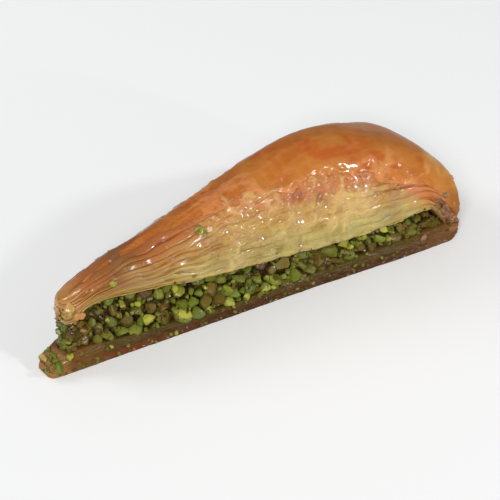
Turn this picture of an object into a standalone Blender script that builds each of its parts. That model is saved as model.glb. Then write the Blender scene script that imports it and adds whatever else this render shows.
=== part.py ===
"""A wedge of baklava cut from a round tray: a stack of thin pastry sheets below, a layer of
chopped pistachios, and a thick puffed stack of sheets above that closes over the outer end.

The wedge lies along X, with its narrow end at -X and the browned outer end at +X. Z is up,
and the origin is at the centre of the bounding box, on the surface that the piece rests on.
"""

import math

import bmesh
import bpy
from mathutils import Vector, noise

# The tray and the cut. The slice stops short of the tray's centre, so its tip is blunt.
TRAY_RADIUS = 0.196
SLICE_LENGTH = 0.160
SLICE_ANGLE = math.radians(14.5)

# Heights above the plate, as (share of the slice's length from the tip, height).
CREST = ((0.0, 0.0195), (0.05, 0.0245), (0.14, 0.0303), (0.30, 0.0362), (0.50, 0.0446),
         (0.66, 0.0496), (0.82, 0.0435), (0.93, 0.0350), (1.0, 0.0240))
UNDERSIDE = ((0.0, 0.0145), (0.05, 0.0184), (0.10, 0.0222), (0.15, 0.0231), (0.21, 0.0224),
             (0.27, 0.0208), (0.35, 0.0186), (0.50, 0.0168), (0.65, 0.0147), (0.80, 0.0144),
             (0.87, 0.0158), (1.0, 0.0150))
BOTTOM_STACK = ((0.0, 0.0030), (0.025, 0.0052), (0.06, 0.0068), (0.09, 0.0072), (0.14, 0.0060),
                (0.22, 0.0050), (0.40, 0.0036), (0.65, 0.0040), (0.82, 0.0053), (1.0, 0.0056))

# Where the layers start, measured from the tip, and how the crust goes down round the nuts.
TOP_START = 0.0092
FILLING_START = 0.0085
RIM_WALL = 0.0095
RIM_WRAP = 0.0090

TOP_ROUNDNESS = 2.3
RIM_ROUNDNESS = 3.4
SQUARER_FROM = 0.75
SIDE_ARC = math.radians(38)
RIM_CORNER = 0.0032
BOTTOM_RIM_CORNER = 0.0070
TIP_CORNER = 0.0022
TOP_TIP_CORNER = 0.0044
SHOULDER = 0.0025
FOOT = 0.0030
GAP = 0.0003

# The chopped nuts stand out of the cut unevenly, just inside the pastry above them.
FILLING_INSET = 0.0016
FILLING_END_GAP = 0.0015
NUT_SIZE = 0.0040
NUT_RELIEF = 0.0011
PASTRY_UNEVENNESS = 0.0006
LEDGE = 0.0006
SPREAD = 0.0012
SPREAD_CENTRE = 0.86
SPREAD_WIDTH = 0.16

END_CROWDING = 0.5


def along_profile(knots, share):
    """A smooth curve through knots of (share, value), without overshoot at the ends."""
    share = min(max(share, knots[0][0]), knots[-1][0])
    last = len(knots) - 1
    i = max(n for n in range(last) if knots[n][0] <= share)
    (x0, y0), (x1, y1) = knots[i], knots[i + 1]

    def slope(n):
        low, high = max(n - 1, 0), min(n + 1, last)
        return (knots[high][1] - knots[low][1]) / (knots[high][0] - knots[low][0])

    step = x1 - x0
    t = (share - x0) / step
    bend0, bend1 = slope(i) * step, slope(i + 1) * step
    return (y0 * (1 + 2 * t) * (1 - t) ** 2 + bend0 * t * (1 - t) ** 2
            + y1 * t * t * (3 - 2 * t) - bend1 * t * t * (1 - t))


def corner_loss(distance, radius):
    """How far a round corner of this radius pulls the side in, this far before the end."""
    if distance >= radius:
        return 0.0
    return radius - math.sqrt(max(radius ** 2 - (radius - distance) ** 2, 0.0))


def half_width(s, start, tip_corner, rim_corner=RIM_CORNER):
    """Half the width of a layer's plan s metres from the slice's tip, if it starts at start."""
    straight = (TRAY_RADIUS - SLICE_LENGTH + s) * math.tan(SLICE_ANGLE / 2)
    return straight - corner_loss(SLICE_LENGTH - s, rim_corner) - corner_loss(s - start, tip_corner)


def rim_sagitta(s, y):
    """The outer end follows the tray's wall, a circle: its corners lie back from its middle."""
    back = TRAY_RADIUS - math.sqrt(TRAY_RADIUS ** 2 - y ** 2)
    return back * max(0.0, 1 - (SLICE_LENGTH - s) / RIM_WRAP)


def crest(s):
    shoulder = corner_loss(SLICE_LENGTH - s, SHOULDER)
    return along_profile(CREST, s / SLICE_LENGTH) - shoulder


def bottom_top(s):
    return along_profile(BOTTOM_STACK, s / SLICE_LENGTH)


def underside(s):
    """The lower face of the top stack: level over the nuts, then down round the outer end."""
    level = along_profile(UNDERSIDE, s / SLICE_LENGTH)
    floor = bottom_top(s) + GAP
    k = (s - (SLICE_LENGTH - RIM_WALL - RIM_WRAP)) / RIM_WRAP
    if k <= 0:
        return level
    return floor + (level - floor) * math.sqrt(max(0.0, 1 - min(k, 1.0) ** 2))


def dome_section(v, w, roundness):
    """A loaf's section, from a square of v across and w up, both -1 to 1, to y and z of 0 to 1."""

    def on_curve(angle):
        power = 2 / roundness
        across = math.copysign(abs(math.cos(angle)) ** power, -math.cos(angle))
        return across, abs(math.sin(angle)) ** power

    up = (w + 1) / 2
    side_y, side_z = on_curve(up * SIDE_ARC)
    corner_y, corner_z = on_curve(SIDE_ARC)
    top_y, top_z = on_curve(SIDE_ARC + (v + 1) / 2 * (math.pi - 2 * SIDE_ARC))
    y = -v * side_y + (top_y + v * corner_y) * up
    z = side_z + (top_z - corner_z) * up
    return y, z


def crowd_ends(u, start, stop):
    """Stations from start to stop for u from -1 to 1, closer together near both ends."""
    share = (u + 1) / 2
    share -= END_CROWDING * math.sin(2 * math.pi * share) / (2 * math.pi)
    return start + (stop - start) * share


def top_pastry_point(u, v, w):
    s = crowd_ends(u, TOP_START, SLICE_LENGTH)
    squarer = max(0.0, (s / SLICE_LENGTH - SQUARER_FROM) / (1 - SQUARER_FROM))
    y, z = dome_section(v, w, TOP_ROUNDNESS + (RIM_ROUNDNESS - TOP_ROUNDNESS) * squarer)
    half = half_width(s, TOP_START, TOP_TIP_CORNER)
    y *= half
    low, high = underside(s), crest(s)
    height = max(high - low, 4 * GAP)
    swell = PASTRY_UNEVENNESS * noise.noise(Vector((s, y, z * height)) * 70) * z
    return s - rim_sagitta(s, y), y * (1 + swell / half), low + z * height + swell


def filling_point(u, v, w):
    s = crowd_ends(u, FILLING_START, SLICE_LENGTH - RIM_WALL - FILLING_END_GAP)
    low = bottom_top(s) + GAP
    high = min(underside(s), underside(s + FILLING_END_GAP)) - GAP
    z = low + max(high - low, GAP) * (w + 1) / 2
    y = v * (half_width(s, FILLING_START, TIP_CORNER) - FILLING_INSET)
    if abs(v) == 1:
        nearest = noise.voronoi(Vector((s, y, z)) / NUT_SIZE)[0]
        y += math.copysign(NUT_RELIEF * (0.6 - nearest[0]), v)
    return s - rim_sagitta(s, y), y, z


def bottom_pastry_point(u, v, w):
    s = crowd_ends(u, 0.0, SLICE_LENGTH)
    up = (w + 1) / 2
    ledge = LEDGE * (1 - s / SLICE_LENGTH)
    spread = SPREAD * math.exp(-((s / SLICE_LENGTH - SPREAD_CENTRE) / SPREAD_WIDTH) ** 2)
    y = v * (half_width(s, 0.0, TIP_CORNER, BOTTOM_RIM_CORNER) + ledge * (1 - up) + spread)
    curve_in = corner_loss(up * bottom_top(s), FOOT) * max(0.0, 1 - (SLICE_LENGTH - s) / RIM_WRAP)
    return s - rim_sagitta(s, y) - curve_in, y, bottom_top(s) * up


def shaped_brick(name, point, counts, colour, roughness):
    """A subdivided cube whose every vertex is moved to where point(u, v, w) says."""
    mesh = bpy.data.meshes.new(name)
    shape = bmesh.new()
    bmesh.ops.create_cube(shape, size=2)
    for axis, count in enumerate(counts):
        along = [edge for edge in shape.edges
                 if abs((edge.verts[1].co - edge.verts[0].co).normalized()[axis]) > 0.99]
        bmesh.ops.subdivide_edges(shape, edges=along, cuts=count - 1, use_grid_fill=True)
    for vertex in shape.verts:
        place = Vector(round(c, 6) for c in vertex.co)
        vertex.co = point(*place)
    bmesh.ops.recalc_face_normals(shape, faces=shape.faces)
    shape.to_mesh(mesh)
    shape.free()
    mesh.shade_smooth()
    mesh.set_sharp_from_angle(angle=math.radians(50))
    mesh.materials.append(food_material(name, colour, roughness))
    return bpy.data.objects.new(name, mesh)


def food_material(name, colour, roughness):
    material = bpy.data.materials.new(name)
    material.use_nodes = True
    surface = material.node_tree.nodes["Principled BSDF"]
    surface.inputs["Base Color"].default_value = (*colour, 1)
    surface.inputs["Roughness"].default_value = roughness
    surface.inputs["Metallic"].default_value = 0
    return material


def centre_on_origin(pieces):
    """Moves the whole slice so that the origin is under the middle of its bounding box."""
    corners = [vertex.co for piece in pieces for vertex in piece.data.vertices]
    low = Vector(map(min, zip(*corners)))
    high = Vector(map(max, zip(*corners)))
    shift = Vector((-(low.x + high.x) / 2, -(low.y + high.y) / 2, -low.z))
    for piece in pieces:
        for vertex in piece.data.vertices:
            vertex.co += shift


def clear_scene():
    for old in list(bpy.data.objects):
        bpy.data.objects.remove(old)


def main():
    clear_scene()
    collection = bpy.data.collections.new("baklava_piece")
    bpy.context.scene.collection.children.link(collection)
    pieces = (
        shaped_brick("bottom_pastry", bottom_pastry_point, (44, 4, 3), (0.13, 0.06, 0.015), 0.3),
        shaped_brick("pistachio_filling", filling_point, (76, 2, 6), (0.12, 0.12, 0.02), 0.5),
        shaped_brick("top_pastry", top_pastry_point, (58, 16, 6), (0.50, 0.20, 0.045), 0.25),
    )
    centre_on_origin(pieces)
    for piece in pieces:
        collection.objects.link(piece)


main()
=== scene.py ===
# %% [markdown]
# # A slice of pistachio baklava
#
# The slice is a long wedge from a round tray, about 16 cm long. Three solids are already built: a
# thin stack of soaked sheets below, a layer of chopped pistachios, and a thick puffed stack of
# sheets above, which closes over the outer end. This lesson gives them the surface of the real
# thing: the cut edges of many thin sheets, the browned skin with its syrup, and the loose nuts.

import math
import random

import bmesh
import bpy
import numpy as np
from mathutils import Matrix, Vector, noise
from mathutils.bvhtree import BVHTree


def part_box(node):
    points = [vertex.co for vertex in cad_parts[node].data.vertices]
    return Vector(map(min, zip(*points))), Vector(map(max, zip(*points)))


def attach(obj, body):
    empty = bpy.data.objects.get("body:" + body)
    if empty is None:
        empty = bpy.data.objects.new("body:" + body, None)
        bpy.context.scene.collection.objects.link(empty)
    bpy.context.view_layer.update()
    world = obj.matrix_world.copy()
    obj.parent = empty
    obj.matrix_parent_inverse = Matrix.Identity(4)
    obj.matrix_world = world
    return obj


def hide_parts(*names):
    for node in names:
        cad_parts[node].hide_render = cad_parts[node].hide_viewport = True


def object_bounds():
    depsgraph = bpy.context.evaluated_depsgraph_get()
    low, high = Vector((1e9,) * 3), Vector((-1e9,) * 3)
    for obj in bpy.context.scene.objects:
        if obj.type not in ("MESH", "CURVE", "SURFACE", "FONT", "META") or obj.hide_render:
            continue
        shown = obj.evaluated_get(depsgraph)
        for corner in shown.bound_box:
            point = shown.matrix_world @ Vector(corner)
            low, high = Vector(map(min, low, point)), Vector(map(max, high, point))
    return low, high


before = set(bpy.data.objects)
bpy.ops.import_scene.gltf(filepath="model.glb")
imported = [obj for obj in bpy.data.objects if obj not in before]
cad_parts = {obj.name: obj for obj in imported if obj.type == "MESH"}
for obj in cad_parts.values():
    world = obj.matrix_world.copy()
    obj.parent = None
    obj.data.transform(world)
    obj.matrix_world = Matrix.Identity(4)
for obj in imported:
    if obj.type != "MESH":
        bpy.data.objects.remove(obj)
cad_low, cad_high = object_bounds()
MM = 0.001
print("solids:", sorted(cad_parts), "length in mm:", round((cad_high.x - cad_low.x) / MM, 1))

# %% [markdown]
# ## Reading the shape
#
# Every new surface has to lie where the solids lie. Their heights could be typed in again, but two
# copies of a number drift apart. Straight lines shot at the solids give the heights along the
# middle of the slice instead, and two shots sideways give the angle of the wedge.

# %% Measure the solids along the slice
tip_x = cad_low.x
length = cad_high.x - cad_low.x
stations = np.linspace(0, length, 161)
summary = {}
trees = {}
for node_name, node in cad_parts.items():
    trees[node_name] = BVHTree.FromObject(node, bpy.context.evaluated_depsgraph_get())


def measured_height(name, from_above):
    """The height of a solid's upper or lower face along the middle of the slice."""
    start, way = (1, -1) if from_above else (-1, 1)
    heights = []
    for s in stations:
        place = trees[name].ray_cast(Vector((tip_x + s, 0, start)), Vector((0, 0, way)))[0]
        heights.append(place.z if place else np.nan)
    heights = np.array(heights)
    known = ~np.isnan(heights)
    heights = np.interp(stations, stations[known], heights[known])
    eased = np.convolve(np.pad(heights, 3, "edge"), np.ones(7) / 7, "valid")
    return np.where(stations < length - 12 * MM, eased, heights)


crest_line = measured_height("top_pastry", True)
underside_line = measured_height("top_pastry", False)
nut_line = measured_height("pistachio_filling", True)
base_line = measured_height("bottom_pastry", True)


def height_of(line, s):
    return float(np.interp(s, stations, line))


print("crest is", round(crest_line.max() / MM, 1), "mm high")

# %% Measure the wedge's plan
TRAY_RADIUS = 196 * MM
RIM_CORNER = 3.2 * MM
BOTTOM_RIM_CORNER = 7 * MM
TIP_CORNER = 2.2 * MM
TOP_TIP_CORNER = 4.4 * MM
RIM_TURN = 9 * MM

top_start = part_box("top_pastry")[0].x - tip_x
nut_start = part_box("pistachio_filling")[0].x - tip_x
nut_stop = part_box("pistachio_filling")[1].x - tip_x


def side_at(s):
    """How far the top solid's side lies from the middle, just above the nuts."""
    start = Vector((tip_x + s, 0, height_of(underside_line, s) + 1.5 * MM))
    return -trees["top_pastry"].ray_cast(start, Vector((0, -1, 0)))[0].y


near_s, far_s = 0.25 * length, 0.85 * length
slope = (side_at(far_s) - side_at(near_s)) / (far_s - near_s)
apex_s = near_s - side_at(near_s) / slope


def round_off(distance, radius):
    """How far a round corner of this radius pulls the side in, this far before the end."""
    if distance >= radius:
        return 0.0
    return radius - math.sqrt(max(radius ** 2 - (radius - distance) ** 2, 0.0))


def half_width(s, start=0.0, corner=TIP_CORNER, rim_corner=RIM_CORNER):
    return slope * (s - apex_s) - round_off(length - s, rim_corner) - round_off(s - start, corner)


def bottom_half_width(s, rise):
    """The soaked sheets at the foot have spread a little near the outer end."""
    spread = 1.2 * MM * math.exp(-((s / length - 0.86) / 0.16) ** 2)
    return half_width(s, rim_corner=BOTTOM_RIM_CORNER - 2.5 * MM * rise) + spread


def rim_curve(s, y):
    """The outer end follows the tray's wall, so its corners lie back from its middle."""
    back = TRAY_RADIUS - math.sqrt(TRAY_RADIUS ** 2 - y ** 2)
    return back * max(0.0, 1 - (length - s) / RIM_TURN)


print("wedge angle in degrees:", round(2 * math.degrees(math.atan(slope)), 1))

# %% [markdown]
# ## Small tools
#
# A stack of baked sheets is never regular, so nearly every value here is bent a little by smooth
# noise. Two habits keep that readable: one function that gives noise for a place and a scale in
# millimetres, and one that eases a value from 0 to 1 between two limits.

# %% Noise, easing and random draws
def ripple(place, size, seed=0.0):
    """Smooth noise from about -1 to 1, whose bumps are about size millimetres wide."""
    scaled = Vector(place) / (size * MM)
    return noise.noise(scaled + Vector((seed * 17.3, seed * 5.1, -seed * 9.7)))


def crease(place, size, seed=0.0):
    """Noise from 0 to 1 with sharp crests, like the folds of a crumpled film."""
    return (1 - abs(ripple(place, size, seed))) ** 3


def ease(low, high, value):
    t = min(max((value - low) / (high - low), 0.0), 1.0)
    return t * t * (3 - 2 * t)


def bell(centre, width, value):
    return math.exp(-((value - centre) / width) ** 2)


def curve(knots):
    """A function that runs straight from knot to knot, each an (input, output) pair."""
    inputs, outputs = zip(*knots)
    return lambda value: float(np.interp(value, inputs, outputs))


print("ripple at 5 mm:", round(ripple((0.01, 0.02, 0.03), 5), 3))

# %% [markdown]
# ## Making pieces
#
# A piece starts as a cube or a flat grid with many cuts, whose points are then moved one by one to
# where a function says. Sculpting by hand would be quicker for one slice, but a function can be
# read, changed and run again. The values that a finish needs, such as how high a point lies in the
# stack, are stored on the points at the same time.

# %% Blocks, grids and finished pieces
FIELDS = ("along", "rise", "bake", "sheet", "gap", "tone")


def new_form():
    form = bmesh.new()
    return form, {field: form.verts.layers.float.new(field) for field in FIELDS}


def store(vertex, layers, values):
    for field, value in values.items():
        vertex[layers[field]] = value


def block(counts, place, relief):
    """A cube cut into counts parts, moved to place(u, v, w) and then pushed out by relief."""
    form, layers = new_form()
    bmesh.ops.create_cube(form, size=2)
    for axis, count in enumerate(counts):
        along = [edge for edge in form.edges
                 if abs((edge.verts[1].co - edge.verts[0].co).normalized()[axis]) > 0.99]
        bmesh.ops.subdivide_edges(form, edges=along, cuts=count - 1, use_grid_fill=True)
    spots = [tuple(round(c, 6) for c in vertex.co) for vertex in form.verts]
    for vertex, spot in zip(form.verts, spots):
        vertex.co = place(*spot)
    form.normal_update()
    moved = [relief(spot, vertex.co, vertex.normal) for vertex, spot in zip(form.verts, spots)]
    for vertex, (shift, values) in zip(form.verts, moved):
        vertex.co += shift
        store(vertex, layers, values)
    return form


def grid(form, columns, rows):
    """A flat grid added to the form, as (vertex, share along, share across) for each point."""
    made = bmesh.ops.create_grid(form, x_segments=columns, y_segments=rows, size=1)["verts"]
    return [(vertex, (vertex.co.x + 1) / 2, (vertex.co.y + 1) / 2) for vertex in made]


class Heap:
    """Many small shapes in one form, added through a small form, because a large one grows slowly."""

    def __init__(self):
        self.form, _ = new_form()
        self.part, self.layers = new_form()

    def pour(self):
        mesh = bpy.data.meshes.new("heap")
        self.part.to_mesh(mesh)
        self.part.free()
        self.form.from_mesh(mesh)
        self.part, self.layers = new_form()

    def corner(self):
        """The small form and its layers, emptied into the large one whenever it is full."""
        if len(self.part.verts) > 3000:
            self.pour()
        return self.part, self.layers

    def whole(self):
        self.pour()
        self.part.free()
        return self.form


def thicken(form, points, thickness):
    faces = list({face for point in points for face in point[0].link_faces})
    bmesh.ops.recalc_face_normals(form, faces=faces)
    bmesh.ops.solidify(form, geom=faces, thickness=thickness)


def finished(name, form, finish, sharp=180):
    """The form as a named piece of the slice, with its finish, riding with the slice."""
    bmesh.ops.recalc_face_normals(form, faces=form.faces)
    mesh = bpy.data.meshes.new(name)
    form.to_mesh(mesh)
    form.free()
    mesh.shade_smooth()
    if sharp < 180:
        mesh.set_sharp_from_angle(angle=math.radians(sharp))
    mesh.materials.append(finish)
    piece = bpy.data.objects.new(name, mesh)
    bpy.context.scene.collection.objects.link(piece)
    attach(piece, "root")
    mesh.calc_loop_triangles()
    summary[name] = len(mesh.loop_triangles)
    print(name, "has", summary[name], "triangles")
    return piece


# %% [markdown]
# ## Writing finishes as sums
#
# A finish is a tree of shader nodes. Placing them one at a time hides the arithmetic, so a small
# class wraps a socket, and plus, minus, times and divide on it add the Math nodes. Every other
# node comes from one method.

# %% Wires and finishes
class Wire:
    """A socket whose sums add Math nodes to the finish that it belongs to."""

    def __init__(self, finish, socket):
        self.finish, self.socket = finish, socket

    def __add__(self, other):
        return self.finish.maths("ADD", self, other)

    def __sub__(self, other):
        return self.finish.maths("SUBTRACT", self, other)

    def __rsub__(self, other):
        return self.finish.maths("SUBTRACT", other, self)

    def __mul__(self, other):
        return self.finish.maths("MULTIPLY", self, other)

    def __truediv__(self, other):
        return self.finish.maths("DIVIDE", self, other)

    def __pow__(self, other):
        return self.finish.maths("POWER", self, other)

    __radd__ = __add__
    __rmul__ = __mul__


class Finish:
    """A material whose surface is one Principled shader."""

    def __init__(self, name, **constants):
        self.material = bpy.data.materials.new(name)
        self.material.use_nodes = True
        self.tree = self.material.node_tree
        self.surface = self.tree.nodes["Principled BSDF"]
        for socket, value in constants.items():
            self.surface.inputs[socket.replace("_", " ")].default_value = value
        self.place = self.node("ShaderNodeTexCoord", {}, {}, "Object")

    def node(self, kind, settings, inputs, output=0):
        """Adds a node: first its settings, then the values or wires of its sockets."""
        made = self.tree.nodes.new(kind)
        for setting, value in settings.items():
            setattr(made, setting, value)
        for socket, value in inputs.items():
            self.plug(value, made.inputs[socket])
        return Wire(self, made.outputs[output])

    def plug(self, value, socket):
        if isinstance(value, Wire):
            self.tree.links.new(value.socket, socket)
        else:
            socket.default_value = value

    def maths(self, operation, *values):
        return self.node("ShaderNodeMath", {"operation": operation}, dict(enumerate(values)))

    def field(self, name):
        """A value that was stored on the piece's points."""
        return self.node("ShaderNodeAttribute", {"attribute_name": name}, {}, "Fac")

    def ease(self, low, high, value):
        """Runs smoothly from 0 at low to 1 at high, also where low is the larger of the two."""
        if low > high:
            return 1 - self.ease(high, low, value)
        limits = {"Value": value, "From Min": low, "From Max": high}
        return self.node("ShaderNodeMapRange", {"interpolation_type": "SMOOTHSTEP"}, limits)

    def combine(self, x, y, z):
        return self.node("ShaderNodeCombineXYZ", {}, {"X": x, "Y": y, "Z": z})

    def cloud(self, size, detail=3.0, place=None, rough=0.55, twist=0.0):
        """Noise from 0 to 1 whose patches are about size millimetres wide."""
        inputs = {"Vector": place or self.place, "Scale": 1 / (size * MM), "Detail": detail,
                  "Roughness": rough, "Distortion": twist}
        return self.node("ShaderNodeTexNoise", {}, inputs)

    def veins(self, size_mm, place=None):
        """Sharp-crested creases from 0 to 1, like the folds of a crumpled film."""
        noise_value = self.cloud(size_mm, 2.0, place, twist=0.5)
        return (1 - self.maths("ABSOLUTE", noise_value - 0.5) * 4) ** 2

    def mix(self, share, first, second, way="MIX"):
        settings = {"data_type": "RGBA", "blend_type": way}
        return self.node("ShaderNodeMix", settings, {0: share, 6: first, 7: second}, 2)

    def bump(self, height, depth, under=None):
        """Relief too fine to model: height from 0 to 1 stands for depth millimetres."""
        inputs = {"Height": height, "Distance": depth * MM, "Strength": 1.0}
        if under:
            inputs["Normal"] = under
        return self.node("ShaderNodeBump", {}, inputs)

    def paint(self, **sockets):
        for socket, value in sockets.items():
            self.plug(value, self.surface.inputs[socket.replace("_", " ")])
        return self.material


def colour(red, green, blue):
    """A colour given as 0 to 255 on screen, as the linear values that shaders use."""
    shares = [channel / 255 for channel in (red, green, blue)]
    linear = [c / 12.92 if c <= 0.04045 else ((c + 0.055) / 1.055) ** 2.4 for c in shares]
    return (*linear, 1.0)


print("a screen grey of 128 is", round(colour(128, 128, 128)[0], 3), "in a shader")

# %% [markdown]
# ## The cut edges of the puffed stack
#
# At the cut, the baker's knife has left the edges of some forty sheets, stuck together with butter
# and syrup into about twenty folds. Near the tip and near the outer end they stand apart as crisp
# lips with dark gaps. In the middle the syrup has soaked them into one soft, wrinkled mass. One
# dense block carries all of that as relief: a level number runs up through the stack, its whole
# numbers are the gaps, and each fold has its own reach.

# %% Where the sheets lie
SHEETS = 9
skin_share = curve(((0.0, 0.90), (0.10, 0.91), (0.20, 0.88), (0.30, 0.86), (0.38, 0.88),
                    (0.44, 0.85), (0.49, 0.79), (0.54, 0.71), (0.60, 0.65), (0.68, 0.61),
                    (0.78, 0.57), (0.87, 0.48), (0.91, 0.42), (0.95, 0.34), (0.975, 0.14),
                    (1.0, 0.0)))
crispness = curve(((0.0, 0.8), (0.10, 1.0), (0.32, 1.0), (0.42, 0.35), (0.70, 0.30),
                   (0.80, 0.85), (0.95, 1.0), (1.0, 0.6)))


def warped_level(s, side, share):
    """The level number at a height share from 0 to 1: the sheets rise and dip along the cut."""
    t = s / length
    place = Vector((s, side * 0.1, share * 0.016))
    wavy = bell(0.20, 0.13, t)
    wave = (0.030 + 0.075 * wavy) * ripple(place, 13, 1) + (0.014 + 0.040 * wavy) * ripple(place, 5, 2)
    uneven = 0.55 * ripple((s * 0.4, side * 0.1, share * 0.04), 3.4, 35)
    return SHEETS * (share + wave * math.sin(math.pi * min(share * 1.15, 1.0))) + uneven


def sheet_relief(s, side, share):
    """How far the cut stands out at a place, in metres, and how deep in a gap it lies."""
    level = warped_level(s, side, share)
    below = math.floor(level)
    part = level - below
    crisp = crispness(s / length)

    def reach(number):
        place = (s, number * 0.1, side * 0.1)
        torn = 1.0 * ease(0.28, 0.60, ripple(place, 7, 36))
        return (0.50 * ripple(place, 14, 3) + 0.16 * ripple(place, 3.2, 4) - torn) * (0.35 + 0.65 * crisp)

    def gap_depth(number):
        open_share = 0.45 + 1.3 * ripple((s, number * 0.1, side * 0.1), 12, 5)
        return min(max(open_share, 0.06), 1.0) * (0.06 + 0.50 * crisp)

    to_next = ease(0.84, 1.0, part) * 0.5
    from_last = (1 - ease(0.0, 0.16, part)) * 0.5
    out = reach(below) * (1 - to_next - from_last)
    out += reach(below + 1) * to_next + reach(below - 1) * from_last
    groove = gap_depth(below) * bell(0, 0.10, part) + gap_depth(below + 1) * bell(1, 0.10, part)
    roll = 0.35 * math.sin(math.pi * part) ** 0.6 * crisp
    return (out - groove + roll) * MM, min(groove / 0.5, 1.0)


def crumple(place, s):
    """The soft wrinkles where syrup has joined the sheets, in mm, strongest half way along."""
    soft = 1 - crispness(s / length)
    tall = Vector((place.x, place.y, place.z * 0.5))
    folds = 0.70 * (crease(tall, 6.0, 6) - 0.4) + 0.55 * (crease(place, 2.9, 7) - 0.4)
    pucker = 0.14 * (crease(place, 1.4, 37) - 0.4)
    return (folds + pucker) * soft + 0.6 * ripple(place, 14, 38)


def crumbly(place, t):
    """The rough, broken crust of the outer wall, in mm."""
    lumps = 0.9 * ripple(place, 4.0, 40) + 0.8 * (crease(place, 2.2, 41) - 0.5) + 0.3 * ripple(place, 1.0, 42)
    return lumps * ease(0.88, 0.93, t)


print("levels at the cut half way along:", round(warped_level(0.08, -1, 1.0), 1))

# %% The loaf's section and its stations
END_TURN = 5 * MM


def roundness(s):
    """The section is oval along most of the loaf, and squarer towards its outer end."""
    return 2.3 + 1.1 * max(0.0, (s / length - 0.75) / 0.25)


def section(angle, s):
    """The loaf's section: 0 is its front foot, pi its back foot, as across and up from 0 to 1."""
    power = 2 / roundness(s)
    across = -math.copysign(abs(math.cos(angle)) ** power, math.cos(angle))
    return across, abs(math.sin(angle)) ** power


def stack_height(s):
    """How thick the puffed stack is in the middle, in mm."""
    return max(height_of(crest_line, s) - height_of(underside_line, s), MM) / MM


def soft_edge(s):
    """From 0 to 1: how far the skin's lower edge sinks into the sheets instead of standing off."""
    room = (1 - skin_share(s / length)) * stack_height(s)
    return min(room / 4, 1.0) * (1 - ease(0.74, 0.86, s / length))


def angle_at(up, s):
    """The angle at which the front of the section reaches this height share."""
    return math.asin(min(max(up, 0.0), 1.0) ** (roundness(s) / 2))


def end_stations(start, stop, count, turning):
    """Places along the slice, closer together where it turns down at the outer end."""
    straight = np.linspace(start, stop - END_TURN, count - turning)
    turn = [stop - END_TURN * (1 - math.sin(math.pi / 2 * (n + 1) / turning))
            for n in range(turning)]
    return list(straight) + turn


def loaf_point(s, across, up, start=top_start, corner=TOP_TIP_CORNER):
    y = across * half_width(s, start, corner)
    low, high = height_of(underside_line, s), height_of(crest_line, s)
    z = low + up * max(high - low, MM)
    drawn_in = 1.6 * MM * ease(0.93, 1.0, s / length) * max(0.0, 1 - z / (14 * MM)) ** 1.5
    return Vector((tip_x + s - rim_curve(s, y) - drawn_in, y * (1 - drawn_in / (22 * MM)), z))


# %% Model the cut stack
SIDE_ARC = math.radians(64)
BODY_COUNTS = (226, 16, 124)
UNDER_SKIN = 2.0 * MM
body_stations = end_stations(top_start, length - UNDER_SKIN, BODY_COUNTS[0] + 1, 14)
body_index = np.linspace(-1, 1, len(body_stations))


def body_spot(u, v, w):
    """From the block's own u, v and w to a station and a place in the section."""
    s = float(np.interp(u, body_index, body_stations))
    rise = (w + 1) / 2
    side_y, side_z = section(rise * SIDE_ARC, s)
    corner_y, corner_z = section(SIDE_ARC, s)
    top_y, top_z = section(SIDE_ARC + (v + 1) / 2 * (math.pi - 2 * SIDE_ARC), s)
    return s, -v * side_y + (top_y + v * corner_y) * rise, side_z + (top_z - corner_z) * rise


def body_place(u, v, w):
    s, across, up = body_spot(u, v, w)
    point = loaf_point(s, across, up)
    ragged = (0.25 + 0.35 * ripple(point, 6, 8) + 0.18 * ripple(point, 2, 9)) * MM
    point.z += ragged * (1 - ease(0.0, 0.10, up))
    droop = (1 - ease(0.0, 7.0, (s - top_start) / MM)) * (1 - ease(0.0, 0.7, up))
    point.z -= (2.6 + 0.8 * ripple(point, 2.5, 45)) * MM * droop
    point.x -= 0.8 * MM * droop
    return point


def body_relief(spot, place, normal):
    s, across, up = body_spot(*spot)
    side = -1 if across < 0 else 1
    edge = skin_share(s / length)
    out, gap = sheet_relief(s, side, up)
    thick, soft = stack_height(s), soft_edge(s)
    start = edge - 0.01 + soft * 3.0 / thick
    covered = ease(start, start + 0.08 + soft * 1.5 / thick, up)
    out = out * (1 - covered) - UNDER_SKIN * covered
    wrinkle = crumple(place, s)
    out += (wrinkle + crumbly(place, s / length)) * MM * (1 - covered)
    # The wrinkle height is stored as tone. The finish turns it into painted shade in the valleys and a painted
    # highlight on the crests.
    values = {"along": s / length, "rise": up, "bake": min(up / max(edge, 0.05), 1.2),
              "sheet": warped_level(s, side, up), "gap": gap, "tone": wrinkle}
    facing = Vector((normal.x, normal.y, normal.z * (0.3 if up < 0.02 else 1.0)))
    return facing * out, values


cut_stack = block(BODY_COUNTS, body_place, body_relief)
print("the cut stack has", len(cut_stack.verts), "points")

# %% [markdown]
# ## The finish of the cut stack
#
# Sheets near the nuts are pale, greenish cream and soaked. Higher up they turn tan, and under the
# skin they are orange-brown, because heat reaches them from above. Streaks that run with the
# sheets break this up: noise is stretched along the level number, which follows every wave of the
# stack. The outer end has baked against the tray's wall, so there the sheets are brown.

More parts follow.
